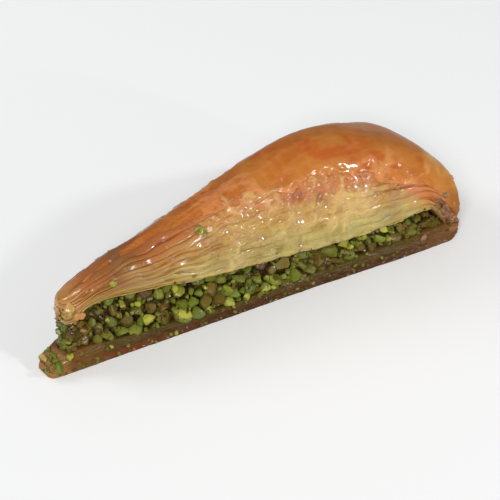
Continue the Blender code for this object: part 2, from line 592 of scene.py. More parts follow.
# %% Finish of pale and tan sheets
def pastry_colour(finish):
    """The colour of baked sheets from the pale foot of the stack to the brown under its skin."""
    bake, along = finish.field("bake"), finish.field("along")
    streak = finish.cloud(1000, 4, finish.combine(along * 22, finish.field("sheet") * 0.8, bake * 0.5))
    fine = finish.cloud(1000, 3, finish.combine(along * 26, finish.field("sheet") * 0.9, bake))
    blotch = finish.cloud(8, 4)
    heat = bake + (streak - 0.5) * 0.45 + (blotch - 0.5) * 0.45 + finish.ease(0.82, 0.90, along) * 0.42
    cream = finish.mix(finish.ease(0.3, 0.7, fine), colour(168, 150, 80), colour(146, 129, 58))
    tan = finish.mix(finish.ease(0.3, 0.7, fine), colour(174, 136, 64), colour(158, 114, 48))
    middle = finish.ease(0.38, 0.50, along) * finish.ease(0.90, 0.80, along)
    brown = finish.mix(blotch, colour(182, 110, 46), colour(166, 92, 36))
    brown = finish.mix(middle, brown, finish.mix(blotch, colour(178, 110, 50), colour(162, 92, 38)))
    body = finish.mix(finish.ease(0.22, 0.62, heat), cream, tan)
    body = finish.mix(finish.ease(0.74, 1.04, heat), body, brown)
    narrow = 1 - finish.ease(0.20, 0.46, along + (blotch - 0.5) * 0.10)
    warm = finish.mix(finish.ease(0.1, 0.9, heat), colour(146, 112, 44), colour(146, 82, 26))
    body = finish.mix(narrow * 0.85, body, warm)
    toasted = finish.ease(0.12, 0.18, along) * finish.ease(0.26, 0.20, along) * finish.ease(0.15, 0.35, bake)
    body = finish.mix(toasted * 0.75, body, colour(120, 74, 24))
    soaked = finish.ease(0.34, 0.42, along) * finish.ease(0.56, 0.46, along) * finish.ease(0.75, 0.45, bake)
    body = finish.mix(soaked * 0.4, body, colour(146, 112, 54))
    body = finish.mix(finish.ease(0.13, 0.07, along) * finish.ease(0.0, 0.5, bake), body, colour(168, 116, 52))
    rim = finish.ease(0.895, 0.935, along + (blotch - 0.5) * 0.08)
    crumbs = finish.ease(0.35, 0.65, finish.cloud(1.6, 4))
    low = finish.mix(crumbs, colour(84, 42, 18), colour(130, 84, 46))
    high = finish.mix(crumbs, colour(176, 122, 58), colour(196, 148, 84))
    crust = finish.mix(finish.ease(0.20, 0.42, finish.field("rise") + (blotch - 0.5) * 0.3), low, high)
    return finish.mix(rim * 0.92, body, crust)


def sheet_finish():
    finish = Finish("baked_sheets", Roughness=0.4, IOR=1.4, Subsurface_Weight=0.2,
                    Subsurface_Scale=0.002, Subsurface_Radius=(1.0, 0.6, 0.25),
                    Coat_Roughness=0.05, Coat_IOR=1.45)
    gap = finish.field("gap")
    body = pastry_colour(finish)
    shaded = finish.mix(gap * 0.5, body, finish.mix(1.0, body, colour(150, 92, 48), "MULTIPLY"))
    # Painted shade and highlight: the wrinkle height darkens the valleys of the folds and lightens their crests to
    # pale cream.
    wrinkle = finish.field("tone")
    valley_shade = finish.mix(1.0, shaded, colour(196, 150, 96), "MULTIPLY")
    shaded = finish.mix(finish.ease(0.0, -0.45, wrinkle) * 0.7, shaded, valley_shade)
    shaded = finish.mix(finish.ease(0.10, 0.55, wrinkle) * 0.45, shaded, colour(204, 174, 106))
    lines = finish.cloud(1000, 2, finish.combine(finish.field("along") * 70, finish.field("sheet") * 3.0, 0.0))
    film = finish.cloud(2.4, 1.5, twist=0.6)
    puckers = finish.veins(1.3)
    along = finish.field("along")
    soft = finish.ease(0.30, 0.42, along) * finish.ease(0.88, 0.78, along)
    relief = finish.bump(film * (0.25 + 0.75 * soft), 0.90, finish.bump(puckers * (0.3 + 0.7 * soft), 0.04,
                                                                    finish.bump(lines, 0.05)))
    wet = finish.ease(0.34, 0.54, finish.cloud(6, 3))
    return finish.paint(Base_Color=shaded, Roughness=0.50 - 0.2 * wet, Coat_Weight=0.2 + 0.8 * wet,
                        Normal=relief)


sheet_paint = sheet_finish()
print("finish:", sheet_paint.name)

# %% Hang the cut stack in the scene
top_sheets = finished("top_sheets", cut_stack, sheet_paint)
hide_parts("top_pastry")

# %% [markdown]
# ## The browned skin
#
# The uppermost sheets have baked into one glossy skin. It lies over the stack like a cloth, from
# its edge at the front cut over the crest to its edge at the back cut, and it hangs down over the
# outer end. So it is one grid: its rows are arcs of the loaf's section, and past the turn at the
# outer end the arcs shrink towards the middle of the foot. Its lower edges are ragged and a little
# lifted.

# %% Model the skin
SKIN_COLUMNS = 236
SKIN_ROWS = 118
SKIN_THICKNESS = 0.55 * MM
FACE_COLUMNS = 40
skin_stations = end_stations(top_start + 0.8 * MM, length, SKIN_COLUMNS + 1 - FACE_COLUMNS, 14)


def skin_lift(s, side, above):
    """The skin's edge stands off the sheets as a lip, or sinks into them, fading higher up."""
    t = s / length
    strength = 1.1 * ease(0.76, 0.86, t) * (1 - ease(0.90, 0.96, t))
    wave = 0.7 + 0.6 * ripple((s, side * 0.1, 0), 11, 10)
    soft = soft_edge(s)
    sunk = 0.5 + 1.1 * soft - 0.5 * ease(0.74, 0.84, t) + 0.8 * ease(0.90, 0.96, t)
    proud = 0.5 * soft * math.exp(-(above / 5) ** 2)
    return (0.6 * strength * wave * math.exp(-above / 1.3) + proud - sunk * math.exp(-above / 1.2)) * MM


def skin_relief(place, s, above):
    """Swelling and folds of the skin in mm, at a height above its edge in mm."""
    t = s / length
    lazy = Vector((place.x * 0.45, place.y, place.z))
    swelling = 0.45 * ripple(place, 24, 11) + 0.14 * ripple(lazy, 9, 12)
    folded = ease(0.28, 0.42, t) * (1 - ease(0.84, 0.95, t)) * math.exp(-((above - 2.5) / 4.5) ** 2)
    folds = 0.72 * (crease(lazy, 6.5, 13) - 0.40) + 0.34 * (crease(place, 3.4, 14) - 0.40)
    small = 0.10 * (crease(place, 1.7, 18) - 0.40)
    low_down = math.exp(-(above / 9) ** 2)
    blisters = 0.50 * ease(0.25, 0.6, ripple(place, 4.2, 19)) * ease(0.70, 0.82, t) * low_down
    laid = (0.14 * (crease(lazy, 3.0, 15) - 0.40) + 0.16 * (crease(lazy, 8.0, 23) - 0.40)) * (1 - folded)
    return swelling, folds * folded + small * (0.08 + 0.92 * folded) + blisters + laid


def model_skin():
    form, layers = new_form()
    points = grid(form, SKIN_COLUMNS, SKIN_ROWS)
    details = []
    for vertex, share_along, share_across in points:
        column = round(share_along * SKIN_COLUMNS)
        shrink = max(0.0, (column - (SKIN_COLUMNS - FACE_COLUMNS)) / FACE_COLUMNS)
        s = skin_stations[min(column, len(skin_stations) - 1)]
        side = -1 if share_across < 0.5 else 1
        torn = 0.028 * ripple((s, side * 0.1, 0), 9, 16) + 0.010 * ripple((s, side * 0.1, 0), 3.0, 17)
        edge = skin_share(s / length)
        edge = max(edge + torn * ease(0.0, 0.1, edge), 0.0)
        foot = angle_at(edge, s)
        crowded = share_across - 0.5 * math.sin(2 * math.pi * share_across) / (2 * math.pi)
        across, up = section(foot + crowded * (math.pi - 2 * foot), s)
        point = loaf_point(s, across, up)
        if shrink:
            centre = loaf_point(s, 0.0, 0.0)
            y = point.y * (1 - shrink)
            point = Vector((tip_x + s - rim_curve(s, y), y, centre.z + (point.z - centre.z) * (1 - shrink)))
        vertex.co = point
        thick = (height_of(crest_line, s) - height_of(underside_line, s)) / MM
        details.append((s, side, (up - edge) * thick, shrink, up))
    form.normal_update()
    for (vertex, _, _), (s, side, above, shrink, up) in zip(points, details):
        swelling, folds = skin_relief(vertex.co, s, above)
        out = (swelling + folds - 0.3) * MM + skin_lift(s, side, above) * (1 - shrink)
        vertex.co += vertex.normal * out
        # The fold height is stored as tone. The finish turns it into painted shade and a painted highlight.
        store(vertex, layers, {"along": s / length, "rise": up * (1 - shrink), "bake": above / 10,
                               "tone": folds})
    bmesh.ops.remove_doubles(form, verts=form.verts, dist=0.02 * MM)
    kept = [(vertex,) for vertex in form.verts]
    thicken(form, kept, SKIN_THICKNESS)
    return form


skin_form = model_skin()
print("the skin has", len(skin_form.verts), "points")

# %% [markdown]
# ## The finish of the skin
#
# The skin is amber where the oven was mild and orange-brown in broad patches where it was fierce.
# Fine streaks follow the sheet. Painted shade darkens the hollows of the folds, and a painted pinkish
# highlight lies on their crests. Syrup gives it a clear coat: a thin second gloss over the pastry's
# own, softer one.

# %% Finish of the skin
def skin_finish():
    finish = Finish("browned_skin", Roughness=0.4, IOR=1.15, Subsurface_Weight=0.12,
                    Subsurface_Scale=0.002, Subsurface_Radius=(1.0, 0.45, 0.15),
                    Coat_Roughness=0.12, Coat_IOR=1.4)
    along, rise, above = finish.field("along"), finish.field("rise"), finish.field("bake")
    broad = finish.cloud(22, 2, twist=0.4)
    blotch = finish.cloud(7, 4, twist=0.3)
    speck = finish.cloud(1.1, 4)
    streak = finish.cloud(1000, 3, finish.combine(along * 9, rise * 22, 0.0))
    heat = (broad - 0.5) * 1.6 + (blotch - 0.5) * 0.8 + (streak - 0.5) * 0.25 + 0.5
    amber = finish.mix(finish.ease(0.3, 0.7, blotch), colour(174, 108, 46), colour(166, 100, 38))
    brown = finish.mix(finish.ease(0.3, 0.7, blotch), colour(172, 86, 32), colour(160, 78, 28))
    body = finish.mix(finish.ease(0.40, 0.85, heat), amber, brown)
    tip_side = 1 - finish.ease(0.20, 0.52, along)
    grainy = finish.ease(0.35, 0.65, finish.cloud(1000, 4, finish.combine(along * 14, rise * 60, 0.0)))
    body = finish.mix(tip_side * 0.6, body, finish.mix(grainy, colour(150, 72, 20), colour(180, 100, 38)))
    pale_tip = 1 - finish.ease(0.07, 0.14, along + (blotch - 0.5) * 0.1)
    body = finish.mix(pale_tip * 0.7, body, colour(204, 156, 82))
    wobble = (blotch - 0.5) * 2.4 + (finish.cloud(2.5, 3) - 0.5) * 1.2

    def scorch(along_at, rise_at, long, tall):
        """A patch that the oven has browned more, with a wavy outline."""
        far = ((along - along_at) / long) ** 2 + ((rise - rise_at) / tall) ** 2
        return 1 - finish.ease(0.2, 1.7, far + wobble)

    spots = scorch(0.710, 0.89, 0.045, 0.045) + scorch(0.800, 0.83, 0.018, 0.05)
    spots = spots + scorch(0.835, 0.72, 0.016, 0.03) + scorch(0.905, 0.80, 0.014, 0.05)
    body = finish.mix(spots * 0.7, body, colour(162, 74, 28))
    golden = finish.ease(0.90, 0.97, along + (blotch - 0.5) * 0.06)
    body = finish.mix(golden * 0.8, body, finish.mix(finish.ease(0.3, 0.7, blotch), colour(178, 116, 48),
                                                     colour(202, 152, 78)))
    rim = finish.ease(0.930, 0.968, along + (blotch - 0.5) * 0.03)
    rim = rim * (1 - finish.ease(0.45, 0.85, rise + (blotch - 0.5) * 0.5))
    body = finish.mix(rim * 0.9, body, finish.mix(blotch, colour(150, 92, 38), colour(112, 66, 28)))
    lip = finish.ease(0.42, 0.08, above + (blotch - 0.5) * 0.3) * finish.ease(0.36, 0.48, along)
    body = finish.mix(lip * finish.ease(0.92, 0.82, along) * 0.8, body, colour(188, 116, 56))
    body = finish.mix(finish.ease(0.55, 0.8, speck) * 0.2, body, colour(140, 72, 26))
    # Painted shade and highlight: the hollows of the folds are darkened and their crests get a pale pinkish highlight.
    folds = finish.field("tone")
    body = finish.mix(finish.ease(0.02, -0.25, folds) * 0.45, body, colour(162, 80, 34))
    body = finish.mix(finish.ease(0.06, 0.32, folds) * 0.40, body, colour(206, 142, 92))
    creased = finish.ease(0.9, 0.0, above) * 0.8 + 0.2
    film = finish.veins(2.4) * creased
    puckers = finish.veins(0.8) * creased
    relief = finish.bump(film, 0.16, finish.bump(puckers, 0.05, finish.bump(speck, 0.03)))
    return finish.paint(Base_Color=body, Roughness=0.42 - 0.1 * blotch,
                        Coat_Weight=(0.25 + 0.45 * finish.ease(0.35, 0.65, finish.cloud(12, 2)))
                        * (0.15 + 0.85 * finish.ease(0.22, 0.42, along) * finish.ease(0.93, 0.84, along)
                           * finish.ease(0.98, 0.78, rise)),
                        Normal=relief)


skin_paint = skin_finish()
top_skin = finished("top_skin", skin_form, skin_paint)

# %% [markdown]
# ## Loose sheet edges
#
# Relief on a block can't overhang, and real sheets do: their thin edges stand out of the cut,
# droop, and throw a fine shadow on the sheet below. So the crispest edges are separate strips. Each
# one follows a level line of the stack, is buried in it along one side, and gets its thickness from
# solidify.

# %% Strips along the level lines
LEAF = 0.17 * MM


def leaf(form, layers, columns, rows, place, values, thickness=LEAF):
    """A thin sheet whose points lie at place(share along, share across)."""
    points = grid(form, columns, rows)
    for vertex, along, across in points:
        vertex.co = place(along, across)
        store(vertex, layers, values(along, across))
    thicken(form, points, thickness)


def height_share(s, side, level):
    """The height share at which the stack's level number has this value."""
    low, high = 0.0, 1.0
    for _ in range(18):
        middle = (low + high) / 2
        if warped_level(s, side, middle) < level:
            low = middle
        else:
            high = middle
    return (low + high) / 2


def cut_point(s, side, up):
    """A point on the cut face at this height share."""
    across = abs(section(angle_at(up, s), s)[0])
    return loaf_point(s, side * across, up)


def edge_strip(form, layers, draw, side, level, start, stop):
    reach = draw.uniform(0.35, 0.85) * MM
    droop = draw.uniform(-0.15, 0.45) * MM
    seed = draw.uniform(0, 50)

    def place(along, across):
        s = start + (stop - start) * along
        up = height_share(s, side, level)
        taper = math.sin(math.pi * along) ** 0.5
        torn = 0.65 + 0.5 * ripple((s, seed, 0), 3.5) + 0.25 * ripple((s, seed, 0), 1.1)
        out = -0.9 * MM + across * (0.9 * MM + reach * taper * max(torn, 0.1))
        point = cut_point(s, side, up)
        drop = droop * across ** 2 * taper + 0.12 * MM * ripple((s, seed, across * MM), 2.5)
        return point + Vector((0, side * out, -drop))

    def values(along, across):
        s = start + (stop - start) * along
        up = height_share(s, side, level)
        # gap paints shade on the strip, darkest where it dives into the stack.
        return {"along": s / length, "rise": up, "sheet": level, "gap": 0.35 * (1 - across),
                "bake": up / max(skin_share(s / length), 0.05)}

    leaf(form, layers, max(int((stop - start) / (0.6 * MM)), 6), 4, place, values)


strips = Heap()
draw = random.Random(11)
strip_count = 0
for side in (-1, 1):
    for level in range(0, SHEETS):
        for _ in range(5):
            span = draw.uniform(6, 26) * MM
            start = draw.uniform(top_start + 3 * MM, length - span - 3 * MM)
            middle = start + span / 2
            room = min(skin_share(x / length) - height_share(x, side, level)
                       for x in (start, middle, start + span))
            wanted = crispness(middle / length) * (0.35 if middle < 0.42 * length else 1.1)
            if room < 0.06 or draw.random() > wanted:
                continue
            edge_strip(*strips.corner(), draw, side, level + draw.uniform(0.02, 0.2), start, start + span)
            strip_count += 1
print("strips:", strip_count)
sheet_edges = finished("sheet_edges", strips.whole(), sheet_paint)

# %% [markdown]
# ## The heap of pistachios
#
# The filling is a heap of coarsely chopped pistachios, pressed down and soaked with syrup. One
# lumpy surface could show it, but then the gaps between the nuts would be mere dents. Here a rough
# core of nut paste fills the middle, and hundreds of separate chopped nuts lie in its faces. The
# core's dark brown is partly the paste's own colour and partly painted shade for the gaps.

# %% Model the core of nut paste
CORE_COUNTS = (230, 10, 26)
CORE_INSET = 4.0 * MM
core_stations = np.linspace(nut_start + 1.2 * MM, nut_stop + 1.2 * MM, CORE_COUNTS[0] + 1)
core_index = np.linspace(-1, 1, len(core_stations))
FILLING_CORNER = TIP_CORNER


def heap_edges(s):
    """The lowest and highest point of the heap at this station."""
    return height_of(base_line, s), height_of(nut_line, min(max(s, nut_start), nut_stop))


def pasty(t):
    """Where syrup has turned the nuts to paste: at the tip and a good half way along."""
    return max(1 - ease(0.07, 0.16, t), 0.9 * bell(0.63, 0.06, t), 0.5 * bell(0.27, 0.02, t))


def overhang(share):
    """Under the pastry's edge the heap falls back, in metres, for a height share from 0 to 1."""
    return 1.9 * MM * ease(0.50, 1.0, share)


def core_place(u, v, w):
    s = float(np.interp(u, core_index, core_stations))
    low, high = heap_edges(s)
    share = (w + 1) / 2
    y = v * max(half_width(s, nut_start, FILLING_CORNER) - CORE_INSET - overhang(share), 0.3 * MM)
    return Vector((tip_x + s - rim_curve(s, y), y, low - 0.6 * MM + (high - low + 1.2 * MM) * share))


def core_relief(spot, place, normal):
    t = (place.x - tip_x) / length
    lumps = 1.1 * ripple(place, 8, 20) + 0.9 * (crease(place, 3.0, 21) - 0.4)
    grain = 0.30 * ripple(place, 1.1, 22)
    outward = Vector((normal.x, normal.y, 0))
    return outward * (lumps + grain + 0.7 * pasty(t)) * MM, {"tone": pasty(t), "along": t}


core_form = block(CORE_COUNTS, core_place, core_relief)
print("the core has", len(core_form.verts), "points")

# %% [markdown]
# ## Finish of the nuts and their paste
#
# A pistachio is yellow-green where it is cut and darker green outside, and some pieces still wear
# their thin purple-brown skin. One finish does for all of them: each nut carries a random tone, and
# each point knows whether it lies on the nut's outside.

# %% Finish of the paste
def paste_finish():
    finish = Finish("nut_paste", Roughness=0.5, IOR=1.15, Subsurface_Weight=0.12,
                    Subsurface_Scale=0.002, Subsurface_Radius=(0.8, 0.7, 0.2),
                    Coat_Roughness=0.10, Coat_IOR=1.45)
    clump, grain = finish.cloud(5, 4), finish.cloud(0.9, 4)
    olive = finish.mix(finish.ease(0.35, 0.65, grain), colour(38, 32, 8), colour(78, 68, 22))
    # The darkest brown is partly the paste's own colour and partly painted shade for the gaps between the nuts.
    umber = finish.mix(finish.ease(0.35, 0.65, grain), colour(26, 12, 5), colour(60, 34, 14))
    body = finish.mix(finish.ease(0.40, 0.60, clump), umber, olive)
    body = finish.mix(finish.field("tone") * 0.7, body, finish.mix(grain, colour(66, 50, 16), colour(100, 82, 32)))
    relief = finish.bump(grain, 0.5, finish.bump(clump, 0.8))
    return finish.paint(Base_Color=body, Roughness=0.5, Coat_Weight=0.5 * finish.ease(0.5, 0.7, grain),
                        Normal=relief)


filling_core = finished("filling_core", core_form, paste_finish())
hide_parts("pistachio_filling")

# %% Chop the nuts
def chopped_nut(draw, subdivisions=2):
    """A mesh of one chopped kernel, 1 across: a longish ball cut by a few planes."""
    form, layers = new_form()
    bmesh.ops.create_icosphere(form, subdivisions=subdivisions, radius=0.5)
    bmesh.ops.scale(form, vec=(draw.uniform(1.1, 1.5), 1.0, draw.uniform(0.8, 1.0)), verts=form.verts)
    for vertex in form.verts:
        vertex[layers["bake"]] = 1.0
    for number in range(draw.choice((4, 5, 5, 6))):
        way = Vector([draw.gauss(0, 1) for _ in range(3)]).normalized()
        whole = [*form.verts, *form.edges, *form.faces]
        cut = bmesh.ops.bisect_plane(form, geom=whole, plane_co=way * draw.uniform(0.12, 0.34),
                                     plane_no=way, clear_outer=True)
        rim = [item for item in cut["geom_cut"] if isinstance(item, bmesh.types.BMEdge)]
        bmesh.ops.contextual_create(form, geom=rim)
    cuts = [face for face in form.faces if len(face.verts) > 4]
    bmesh.ops.inset_individual(form, faces=cuts, thickness=0.07, depth=0.02)
    for face in cuts:
        for vertex in face.verts:
            vertex[layers["bake"]] = 0.0
    form.normal_update()
    shift = Vector([draw.uniform(-9, 9) for _ in range(3)])
    for vertex in form.verts:
        vertex.co += vertex.normal * 0.06 * noise.noise(vertex.co * 3 + shift)
    low = Vector([min(vertex.co[axis] for vertex in form.verts) for axis in range(3)])
    high = Vector([max(vertex.co[axis] for vertex in form.verts) for axis in range(3)])
    bmesh.ops.translate(form, vec=-(low + high) / 2, verts=form.verts)
    bmesh.ops.scale(form, vec=(1 / max(high - low),) * 3, verts=form.verts)
    mesh = bpy.data.meshes.new("kernel")
    form.to_mesh(mesh)
    form.free()
    return mesh


draw = random.Random(5)
kernels = [chopped_nut(draw) for _ in range(16)]
crumbs = [chopped_nut(draw, 1) for _ in range(10)]
print("faces on the chopped nuts:", [len(kernel.polygons) for kernel in kernels])

# %% [markdown]
# ## Laying the nuts
#
# The nuts are laid like darts: a place on the cut is drawn at random, and it counts only if it is
# far enough from all nuts before it. Large nuts are laid first, and smaller ones find the gaps.
# Each copy is turned at random, and its middle lies just inside the cut, so the knife seems to have
# passed through the heap.

# %% Lay nuts in both cuts and at the tip
def lay_out(draw, side, sizes, tries):
    """Places for nuts on one cut, as (s, z, size), so that no two lie in each other."""
    laid = []
    for size in sizes:
        for _ in range(tries):
            s = draw.uniform(nut_start + 1.5 * MM, nut_stop + 0.5 * MM)
            low, high = heap_edges(s)
            z = draw.uniform(low + 0.15 * size, max(high - 0.35 * size, low + 0.3 * size))
            if high - low < 0.55 * size:
                continue
            if all((s - s2) ** 2 + (z - z2) ** 2 > (0.39 * (size + size2)) ** 2 for s2, z2, size2 in laid):
                laid.append((s, z, size))
                break
    return laid


def copy_into(form, layers, mesh, matrix, values):
    """Adds a copy of the mesh to the form, moved by the matrix, with these values stored on it."""
    before = len(form.verts)
    form.from_mesh(mesh)
    form.verts.ensure_lookup_table()
    made = form.verts[before:]
    bmesh.ops.transform(form, matrix=matrix, verts=made)
    for vertex in made:
        store(vertex, layers, values)


def turned_at(draw, place, size):
    turn = Matrix.Rotation(draw.uniform(0, 2 * math.pi), 4, Vector([draw.gauss(0, 1) for _ in range(3)]))
    return Matrix.Translation(place) @ turn @ Matrix.Scale(size, 4)


def lay_nuts(draw, side, sizes, deeper):
    """Lays one layer of nuts in one cut, deeper metres behind the first."""
    for s, z, size in lay_out(draw, side, sizes, 60):
        t = s / length
        low, high = heap_edges(s)
        share = min(max((z - low) / max(high - low, MM), 0.0), 1.0)
        spill = (1.3 * bell(0.34, 0.17, t) * (1 - ease(0.0, 0.55, share)) - 0.2) * MM
        depth = half_width(s, nut_start, FILLING_CORNER) - 0.45 * size + spill - overhang(share)
        y = side * max(depth - deeper + draw.uniform(-1.5, 0.6) * MM, 0.0)
        place = Vector((tip_x + s - rim_curve(s, y), y, z))
        browned = ease(0.83, 0.90, t)
        # gap is painted shade: it grows for the deeper second layer and for nuts under the pastry's overhang.
        values = {"tone": draw.random() * (1 - 0.65 * pasty(t)) * (1 - 0.8 * browned), "along": t,
                  "rise": max(pasty(t), 0.7 * browned),
                  "gap": deeper / (2.2 * MM) + 0.6 * ease(0.75, 1.0, share)}
        copy_into(*nuts.corner(), draw.choice(kernels), turned_at(draw, place, size), values)


nuts = Heap()
large = [draw.uniform(4.2, 6.2) * MM for _ in range(110)]
middling = [draw.uniform(2.5, 3.9) * MM for _ in range(170)]
small = [draw.uniform(1.4, 2.5) * MM for _ in range(190)]
for side in (-1, 1):
    lay_nuts(draw, side, large + middling + small, 0.0)
    lay_nuts(draw, side, large[:60] + middling[:90], 2.2 * MM)
print("nuts laid")

# %% Finish of the nuts
def nut_finish():
    finish = Finish("pistachio", Roughness=0.4, IOR=1.2, Subsurface_Weight=0.2,
                    Subsurface_Scale=0.002, Subsurface_Radius=(0.7, 0.9, 0.2),
                    Coat_Roughness=0.12, Coat_IOR=1.45)
    tone, outside = finish.field("tone"), finish.field("bake")
    patch, grain = finish.cloud(2.2, 3), finish.cloud(0.5, 3)
    green = finish.mix(patch, colour(76, 92, 20), colour(118, 126, 36))
    yellow = finish.mix(patch, colour(146, 148, 44), colour(184, 178, 76))
    olive = finish.mix(patch, colour(88, 74, 26), colour(112, 94, 36))
    cut = finish.mix(finish.ease(0.50, 0.95, tone + (patch - 0.5) * 0.3), green, yellow)
    cut = finish.mix(1 - finish.ease(0.18, 0.30, tone), cut, olive)
    skin = finish.mix(finish.ease(0.4, 0.6, grain), colour(70, 78, 24), colour(96, 98, 36))
    purple = finish.mix(finish.ease(0.35, 0.65, grain), colour(56, 28, 18), colour(98, 58, 34))
    skin = finish.mix(1 - finish.ease(0.10, 0.18, tone), skin, purple)
    body = finish.mix(outside * 0.75, cut, skin)
    body = finish.mix(finish.field("rise") * 0.5, body, colour(96, 76, 30))
    # Painted shade: nuts that lie back in the heap or under the pastry's overhang are darkened by their gap value.
    body = finish.mix(finish.field("gap") * 0.8, body, finish.mix(1.0, body, colour(130, 100, 70), "MULTIPLY"))
    body = finish.mix(finish.ease(0.5, 0.8, grain) * 0.25, body, colour(80, 66, 26))
    relief = finish.bump(grain, 0.10, finish.bump(patch, 0.2))
    return finish.paint(Base_Color=body, Roughness=0.5 - 0.15 * patch,
                        Coat_Weight=0.7 * finish.ease(0.4, 0.6, finish.cloud(4, 2)), Normal=relief)


nut_paint = nut_finish()
pistachio_pieces = finished("pistachio_pieces", nuts.whole(), nut_paint, 38)

# %% [markdown]
# ## The bottom sheets
#
# The sheets under the nuts never puff: they are pressed flat, soaked and fried from below. Their
# cut edge shows a few fine lines, olive where nut paste has rubbed off on it and caramel brown at
# the foot. The outer end curves up from the tray and closes against the upper crust.

# %% Model the bottom stack
BOTTOM_COUNTS = (240, 10, 34)
BOTTOM_SHEETS = 6
FOOT = 3.0 * MM
FOOT_SPREAD = 0.6 * MM
bottom_stations = end_stations(0, length, BOTTOM_COUNTS[0] + 1, 14)
bottom_index = np.linspace(-1, 1, len(bottom_stations))


def bottom_spot(u, w):
    s = float(np.interp(u, bottom_index, bottom_stations))
    return s, (w + 1) / 2


def bottom_place(u, v, w):
    s, rise = bottom_spot(u, w)
    height = height_of(base_line, s)
    y = v * (bottom_half_width(s, rise) + FOOT_SPREAD * (1 - s / length) * (1 - rise))
    curve_in = round_off(rise * height, FOOT) * max(0.0, 1 - (length - s) / RIM_TURN)
    return Vector((tip_x + s - rim_curve(s, y) - curve_in, y, rise * height))


def bottom_relief(spot, place, normal):
    s, rise = bottom_spot(spot[0], spot[2])
    t, side = s / length, (-0.1 if place.y < 0 else 0.1)
    level = BOTTOM_SHEETS * (rise + 0.10 * ripple((s, side, 0), 20, 30) + 0.04 * ripple((s, side, 0), 5, 31))
    part, below = level % 1, math.floor(level)
    reach = 0.42 * ripple((s, below * 0.1, side), 9, 32) + 0.22 * ripple((s, below * 0.1, side), 2.2, 33)
    groove = 0.30 * bell(0, 0.2, part) + 0.30 * bell(1, 0.2, part)
    sag = -0.5 * bell(0.9, 0.35, rise)
    rough = 0.30 * ripple(place, 1.0, 34) + 0.30 * ripple(place, 2.6, 38)
    torn = (1 - ease(0.02, 0.07, t)) * (0.9 * ripple(place, 3.0, 43) + 0.5 * (crease(place, 1.8, 44) - 0.5) - 0.3)
    out = (reach - groove + sag + rough) * (1 if 0.02 < rise < 0.98 else 0.4)
    level_out = Vector((normal.x, normal.y, 0)) * out + normal * torn * ease(0.0, 0.3, rise)
    return level_out * MM, {"along": t, "rise": rise, "sheet": level, "gap": min(groove / 0.3, 1)}


bottom_form = block(BOTTOM_COUNTS, bottom_place, bottom_relief)
print("the bottom stack has", len(bottom_form.verts), "points")


# %% Finish of the bottom stack
def bottom_finish():
    finish = Finish("soaked_bottom", Roughness=0.35, IOR=1.2, Subsurface_Weight=0.15,
                    Subsurface_Scale=0.002, Subsurface_Radius=(1.0, 0.5, 0.2),
                    Coat_Roughness=0.08, Coat_IOR=1.45)
    along, rise, sheet = finish.field("along"), finish.field("rise"), finish.field("sheet")
    streak = finish.cloud(1000, 4, finish.combine(along * 34, sheet * 1.2, 0.0))
    blotch, grain = finish.cloud(6, 4), finish.cloud(0.7, 4)
    level = rise + (streak - 0.5) * 0.5 + (blotch - 0.5) * 0.5
    olive = finish.mix(finish.ease(0.35, 0.65, grain), colour(62, 48, 14), colour(88, 68, 24))
    caramel = finish.mix(finish.ease(0.3, 0.7, streak), colour(50, 28, 8), colour(82, 48, 16))
    body = finish.mix(finish.ease(0.50, 0.80, level), caramel, olive)
    ruddy = finish.ease(0.42, 0.20, along) * finish.ease(0.05, 0.12, along)
    body = finish.mix(ruddy * finish.ease(0.55, 0.40, level) * 0.8, body, colour(96, 48, 12))
    olive_tip = 1 - finish.ease(0.08, 0.16, along)
    body = finish.mix(olive_tip * 0.7, body, finish.mix(finish.ease(0.4, 0.6, blotch), colour(94, 74, 22),
                                                        colour(112, 68, 24)))
    pale_end = 1 - finish.ease(0.025, 0.055, along + (blotch - 0.5) * 0.05)
    body = finish.mix(pale_end * 0.55, body, finish.mix(grain, colour(156, 108, 52), colour(188, 142, 84)))
    rim = finish.ease(0.80, 0.95, along)
    body = finish.mix(rim * 0.7, body, finish.mix(blotch, colour(122, 82, 40), colour(82, 48, 20)))
    crust = finish.ease(0.93, 0.97, along) * finish.ease(0.4, 0.9, rise)
    body = finish.mix(crust * 0.7, body, colour(150, 94, 42))
    relief = finish.bump(grain, 0.3, finish.bump(streak, 0.18))
    return finish.paint(Base_Color=body, Roughness=0.45 - 0.15 * blotch,
                        Coat_Weight=0.6 * finish.ease(0.46, 0.60, finish.cloud(2, 3)), Normal=relief)


bottom_sheets = finished("bottom_sheets", bottom_form, bottom_finish())
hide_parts("bottom_pastry")

# %% [markdown]
# ## Flakes, nut skins and crumbs
#
# Wherever a sheet has torn, small stiff flakes are left: over the tip, on the skin's lower edge and
# on the crust that baked against the tray. Thin purple skins have come off the nuts, and ground
# pistachio sticks to the syrup. All of them are laid in one way: a straight line shot at the
# finished pieces finds the surface, so nothing hovers and nothing is buried.

# %% Find the surface and lay a flake on it
ground_pieces = (top_sheets, top_skin, sheet_edges, filling_core, pistachio_pieces, bottom_sheets)
surfaces = [BVHTree.FromObject(piece, bpy.context.evaluated_depsgraph_get()) for piece in ground_pieces]


def surface_at(start, way):
    """The first place and its normal that a straight line from start meets on the slice."""
    hits = [tree.ray_cast(Vector(start), Vector(way).normalized()) for tree in surfaces]
    hits = [hit for hit in hits if hit[0]]
    nearest = min(hits, key=lambda hit: hit[3], default=(None, None))
    return nearest[0], nearest[1]


